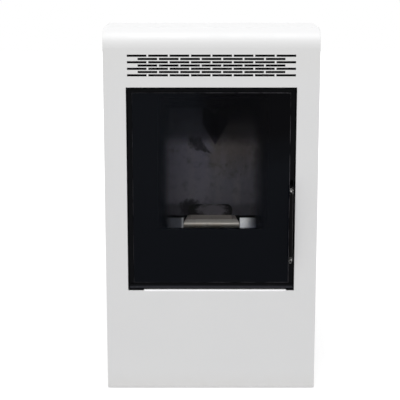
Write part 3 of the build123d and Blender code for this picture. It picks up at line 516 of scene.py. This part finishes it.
def ropeMaterial():
    paint = Paint("glassFibreRope")
    fibre = paint.noise(1500, 3, 0.7)
    sooted = paint.between(paint.noise(16, 5), 0.48, 0.68)
    colour = paint.mixed(paint.between(fibre, 0.35, 0.7), ropeLook["yarn"], ropeLook["pale"])
    colour = paint.mixed(sooted * 0.7, colour, ropeLook["soot"])
    return paint.finish(Base_Color=colour, Roughness=paint.spread(fibre, *ropeLook["rough"]),
                        Normal=paint.bump(fibre, ropeLook["fibre"], 0.6), Sheen_Weight=ropeLook["sheen"])


# Door glass: black-printed ceramic glass with a clear window whose top and sides fade out. The print is thinner for a
# hand's width above the window, a faint grey painted reflection lies over it everywhere but at the upper right, and
# its ground edge is pale and brightened towards the right as a painted highlight
glassLook = {
    "print": (0.0006, 0.0006, 0.0014), "film": (0.0030, 0.0038, 0.0059), "haze": (0.012, 0.011, 0.011),
    "groundEdgeAndHighlight": (0.135, 0.130, 0.145), "windowX": (-0.1274, -0.0914, 0.0916, 0.1366),
    "windowZ": (0.3943, 0.4003, 0.5897, 0.6297), "thinZ": (0.5897, 0.6297, 0.6177, 0.7677),
    "clear": 0.12, "thin": 0.40, "noReflectionX": (-0.045, 0.005), "noReflectionZ": (0.535, 0.635),
    "pane": (0.1845, 0.2645, 0.7195), "bevel": 0.00085, "highlightX": (-0.12, 0.18), "highlight": (0.4, 1.0),
    "rough": (0.04, 0.09), "shine": 0.03}


# pale from grinding and made stronger to the right as a painted highlight
def groundEdgeHighlight(paint, x, z):  # the narrow chamfer round the pane, stronger to the right
    halfWide, bottom, top = glassLook["pane"]
    width = glassLook["bevel"]
    edge = paint.between(abs(x), halfWide - width, halfWide - width * 0.8)
    edge = edge + paint.below(z, bottom + width * 0.8, bottom + width)
    edge = (edge + paint.between(z, top - width, top - width * 0.8)).clamped()
    patchy = paint.between(paint.noise(22, 4, 0.6), 0.38, 0.60, 0.1, 1.0)
    return edge * patchy * paint.between(x, *glassLook["highlightX"], *glassLook["highlight"])


def glassMaterial():
    paint = Paint("printedDoorGlass")
    x, z = paint.axis("X"), paint.axis("Z")
    across = paint.band(x, *glassLook["windowX"])
    window = across * paint.band(z, *glassLook["windowZ"])
    thin = across * paint.band(z, *glassLook["thinZ"])
    haze = paint.between(paint.noise(70, 4), 0.5, 0.8) * window
    alpha = 1 - window * (1 - glassLook["clear"]) - thin * glassLook["thin"]
    alpha = (alpha + haze * 0.05).clamped()
    smear = paint.noise(12, 5, 0.6)
    # painted reflection: a faint grey over the print everywhere but at the upper right, in the colour called film
    noReflection = paint.between(x + (smear - 0.5) * 0.06, *glassLook["noReflectionX"])
    noReflection = noReflection * paint.between(z + (smear - 0.5) * 0.10, *glassLook["noReflectionZ"])
    groundEdgeAndHighlight = groundEdgeHighlight(paint, x, z)
    colour = paint.mixed(noReflection, glassLook["film"], glassLook["print"])
    colour = paint.mixed(haze, colour, glassLook["haze"])
    colour = paint.mixed(groundEdgeAndHighlight, colour, glassLook["groundEdgeAndHighlight"])
    rough = paint.between(smear, 0.4, 0.7, *glassLook["rough"]) + groundEdgeAndHighlight * 0.4
    return paint.finish(Base_Color=colour, Roughness=rough, Alpha=alpha, Specular_IOR_Level=glassLook["shine"])


ropeFinish = ropeMaterial()
footCorners = ("front_left", "front_right", "rear_left", "rear_right")
dress(whitePaint(), "front_panel", "side_panel_left", "side_panel_right", "top_deck", "hopper_lid", "rear_panel")
dress(blackPaint(), "door_frame", "hinge_brackets", "door_hinge_pins", "door_rest", "latch_keeper", "firebox_flange")
dress(pipeEnamel(), "flue_spigot", "air_intake_pipe")
dress(leverEnamel(), "door_lever")
dress(fireIron("fireboxSteel", fireLook["iron"], 0.45), "firebox_body", "smoke_box", "firebox_legs", "baffle_plate")
dress(fireIron("chuteIron", fireLook["chute"], 0.15), "pellet_chute", "heat_exchanger_tubes")
dress(fireIron("drawerIron", fireLook["drawer"], 0.6), "ash_drawer")
dress(backLinerIron(), "back_liner")
dress(potSteel(), "burn_pot")
dress(holderSteel(), "burn_pot_holder")
dress(zincSteel(), "base_tray", "casing_screws", "hopper", "hopper_guard_bars", "lid_hinges", "auger_tube",
      "auger_screw", "exhaust_housing", "exhaust_impeller", "room_fan_housing", "room_fan_impeller",
      *["levelling_foot_" + corner for corner in footCorners])
dress(castAluminium(), "auger_gearmotor", "exhaust_motor", "room_fan_motor")
dress(mouldedPlastic("blackPlastic"), "control_bezel", "power_inlet", "safety_thermostat")
dress(mouldedPlastic("switchPlastic"), "rocker_switch")
dress(mouldedPlastic("greyKeys"), "reset_button", *["control_key_%d" % n for n in range(1, 5)])
dress(mouldedPlastic("displayPane"), "display_window")
dress(mouldedPlastic("foamSeal"), "lid_seal")
dress(boardMaterial(), "keypad_board", "control_board")
dress(ceramicMaterial(), "igniter")
dress(glassMaterial(), "door_glass")
dress(ropeFinish, "glass_seal", "door_gasket")
print("materials on the CAD nodes")


def addPiece(name, shape, material, body, smooth=True):  # bmesh to an object that rides on a body
    mesh = bpy.data.meshes.new(name)
    bmesh.ops.recalc_face_normals(shape, faces=shape.faces)
    shape.to_mesh(mesh)
    shape.free()
    for face in mesh.polygons:
        face.use_smooth = smooth
    mesh.materials.append(material)
    piece = bpy.data.objects.new(name, mesh)
    bpy.context.scene.collection.objects.link(piece)
    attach(piece, body)
    return piece


# Rope seal on the back of the door: a braid pressed a little flat, one closed loop round the throat
rope = {"half": 0.176, "low": 0.264, "high": 0.711, "corner": 0.0095, "y": frontY + 0.02675, "wide": 0.0088,
        "deep": 0.0073, "boxy": 0.75, "step": 0.0016, "around": 20, "strands": 4, "pitch": 0.019, "relief": 0.0006}


def loopPoints(half, low, high, corner, step):  # rounded rectangle in XZ with its outward direction
    points = []
    corners = [(half - corner, high - corner, 0), (-half + corner, high - corner, 90),
               (-half + corner, low + corner, 180), (half - corner, low + corner, 270)]
    turns = max(3, round(corner * math.pi / 2 / step))
    previous = None
    for x, z, start in corners + corners[:1]:
        outward = Vector((math.cos(math.radians(start)), 0, math.sin(math.radians(start))))
        first = Vector((x, 0, z)) + outward * corner
        if previous:  # the straight run from the last corner to this one
            count = max(1, round((first - previous).length / step))
            points += [(previous.lerp(first, n / count), outward) for n in range(count)]
            if start == 0:
                break
        for n in range(turns):
            angle = math.radians(start + 90 * n / turns)
            outward = Vector((math.cos(angle), 0, math.sin(angle)))
            points.append((Vector((x, 0, z)) + outward * corner, outward))
        end = math.radians(start + 90)
        previous = Vector((x + corner * math.cos(end), 0, z + corner * math.sin(end)))
    return points


def boxed(value):  # pulls a circle's cosine or sine out towards a rounded box
    return math.copysign(abs(value) ** rope["boxy"], value)


def braidedRope():
    points = loopPoints(rope["half"], rope["low"], rope["high"], rope["corner"], rope["step"])
    length = sum((a[0] - b[0]).length for a, b in zip(points, points[1:] + points[:1]))
    turns = round(length / rope["pitch"])
    shape = bmesh.new()
    rings = []
    travelled = 0.0
    for n, (point, outward) in enumerate(points):
        phase = 2 * math.pi * turns * travelled / length
        ring = []
        for k in range(rope["around"]):
            angle = 2 * math.pi * k / rope["around"]
            over = abs(math.sin(rope["strands"] * angle / 2 + phase))
            under = abs(math.sin(rope["strands"] * angle / 2 - phase))
            rise = rope["relief"] * (max(over, under) - 1)
            place = point + outward * (rope["wide"] / 2 + rise) * boxed(math.cos(angle))
            back = rope["y"] + (rope["deep"] / 2 + rise) * boxed(math.sin(angle))
            ring.append(shape.verts.new((place.x, back, place.z)))
        rings.append(ring)
        travelled += (points[(n + 1) % len(points)][0] - point).length
    for first, second in zip(rings, rings[1:] + rings[:1]):
        for k in range(rope["around"]):
            following = (k + 1) % rope["around"]
            shape.faces.new((first[k], first[following], second[following], second[k]))
    piece = addPiece("braidedDoorRope", shape, ropeFinish, "door")
    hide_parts("door_gasket")


# Raised signs on the four keys: minus, plus, a mode square and the standby ring
keySigns = {"height": 0.00025, "sunk": 0.00005, "line": 0.0009, "reach": 0.0028, "ringGap": 32, "ringSteps": 28}


def raisedOutline(shape, outline, z, high):  # a flat outline drawn up into a sign with a top and walls
    foot = [shape.verts.new((x, y, z)) for x, y in outline]
    top = [shape.verts.new((x, y, z + high)) for x, y in outline]
    shape.faces.new(top)
    shape.faces.new(foot[::-1])
    for n in range(len(outline)):
        following = (n + 1) % len(outline)
        shape.faces.new((foot[n], foot[following], top[following], top[n]))


def barOutline(x, y, wide, long):
    return [(x - wide / 2, y - long / 2), (x + wide / 2, y - long / 2),
            (x + wide / 2, y + long / 2), (x - wide / 2, y + long / 2)]


def plusOutline(x, y, line, reach):
    corner = [(line / 2, -line / 2), (reach, -line / 2), (reach, line / 2)]
    quarters = [(math.cos(math.pi * n / 2), math.sin(math.pi * n / 2)) for n in range(4)]
    return [(x + c * u - s * v, y + s * u + c * v) for c, s in quarters for u, v in corner]


def ringSign(shape, x, y, z, inner, outer, high, gap, steps):  # open by gap degrees each side of its top, or closed
    loops = []
    for n in range(steps + 1 if gap else steps):
        angle = math.radians(90 + gap + (360 - 2 * gap) * n / steps if gap else 45 + 360 * n / steps)
        c, s = math.cos(angle), math.sin(angle)
        loops.append([shape.verts.new((x + r * c, y + r * s, z + h))
                      for r, h in ((inner, 0), (outer, 0), (outer, high), (inner, high))])
    for first, second in zip(loops, loops[1:] if gap else loops[1:] + loops[:1]):
        for k in range(4):
            shape.faces.new((first[k], first[(k + 1) % 4], second[(k + 1) % 4], second[k]))
    if gap:
        shape.faces.new(loops[0])
        shape.faces.new(loops[-1][::-1])


def signsOnKeys():
    material = mouldedPlastic("signPrint")
    line, reach, high = keySigns["line"], keySigns["reach"], keySigns["height"]
    for n in range(1, 5):
        low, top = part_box("control_key_%d" % n)
        x, y, z = (low.x + top.x) / 2, (low.y + top.y) / 2, top.z - keySigns["sunk"]
        shape = bmesh.new()
        if n == 1:
            raisedOutline(shape, barOutline(x, y, 2 * reach, line), z, high)
        elif n == 2:
            raisedOutline(shape, plusOutline(x, y, line, reach), z, high)
        elif n == 3:
            diagonal = math.sqrt(2)  # a closed ring of four steps is the square
            ringSign(shape, x, y, z, (reach - line) * diagonal, reach * diagonal, high, 0, 4)
        else:
            ringSign(shape, x, y, z, reach - line / 2, reach + line / 2, high, keySigns["ringGap"],
                     keySigns["ringSteps"])
            raisedOutline(shape, barOutline(x, y + reach * 0.75, line, reach), z, high)
        addPiece("keySign%d" % n, shape, material, "key_%d" % n, False)


braidedRope()
signsOnKeys()
print("rope seal and key signs made")


# Studio: a pale floor that runs into the white backdrop, even white surroundings, one broad lamp above
studio = {"surroundings": 0.60, "lamp": 312, "lampSize": 4.0, "lampPlace": (-0.35, -2.6, 7.4), "lampAim": (0, 0, 0.5),
          "floor": (0.70, 0.70, 0.70), "floorReach": 9, "nearGlow": (0.45, 0.45, 0.45), "farGlow": (0.80, 0.80, 0.80),
          "far": (1.2, 3.5)}


def floorMaterial():
    paint = Paint("studioFloor")
    matte = paint.node("ShaderNodeBsdfDiffuse", {}, {"Color": (*studio["floor"], 1)})
    away = paint.node("ShaderNodeVectorMath", {"operation": "LENGTH"}, (paint.place,), "Value")
    colour = paint.mixed(paint.between(away, *studio["far"]), studio["nearGlow"], studio["farGlow"])
    glow = paint.node("ShaderNodeEmission", {}, {"Color": colour, "Strength": paint.seenDirectly()})
    return paint.output(paint.node("ShaderNodeAddShader", {}, (matte, glow)))


def makeFloor():
    mesh = bpy.data.meshes.new("studioFloor")
    shape = bmesh.new()
    bmesh.ops.create_grid(shape, x_segments=8, y_segments=8, size=studio["floorReach"])
    shape.to_mesh(mesh)
    shape.free()
    mesh.materials.append(floorMaterial())
    floor = bpy.data.objects.new("studioFloor", mesh)
    bpy.context.scene.collection.objects.link(floor)


def makeWorld():  # full white where it is seen, dimmer where it lights the stove
    world = bpy.data.worlds.new("studio")
    bpy.context.scene.world = world
    tree = Tree(world)
    level = tree.seenDirectly() * (1 - studio["surroundings"]) + studio["surroundings"]
    sky = tree.node("ShaderNodeBackground", {}, {"Color": (1, 1, 1, 1), "Strength": level})
    tree.node("ShaderNodeOutputWorld", {}, {"Surface": sky})


def makeLamp():
    data = bpy.data.lights.new("softBox", "AREA")
    data.energy = studio["lamp"]
    data.shape = "SQUARE"
    data.size = studio["lampSize"]
    lamp = bpy.data.objects.new("softBox", data)
    lamp.location = studio["lampPlace"]
    aim = Vector(studio["lampAim"]) - Vector(studio["lampPlace"])
    lamp.rotation_euler = aim.to_track_quat("-Z", "Y").to_euler()
    bpy.context.scene.collection.objects.link(lamp)


# Camera: long lens a little above the stove, looking down 12 degrees
view = {"lens": 109.5, "sensor": 36, "place": (-0.0264, frontY - 2.798, 1.062), "down": 12}


def makeCamera():
    data = bpy.data.cameras.new("camera")
    data.lens = view["lens"]
    data.sensor_width = view["sensor"]
    camera = bpy.data.objects.new("camera", data)
    camera.location = view["place"]
    camera.rotation_euler = (math.radians(90 - view["down"]), 0, 0)
    bpy.context.scene.collection.objects.link(camera)
    bpy.context.scene.camera = camera


makeFloor()
makeWorld()
makeLamp()
makeCamera()
bpy.context.scene.view_settings.view_transform = "Standard"
print("studio ready")
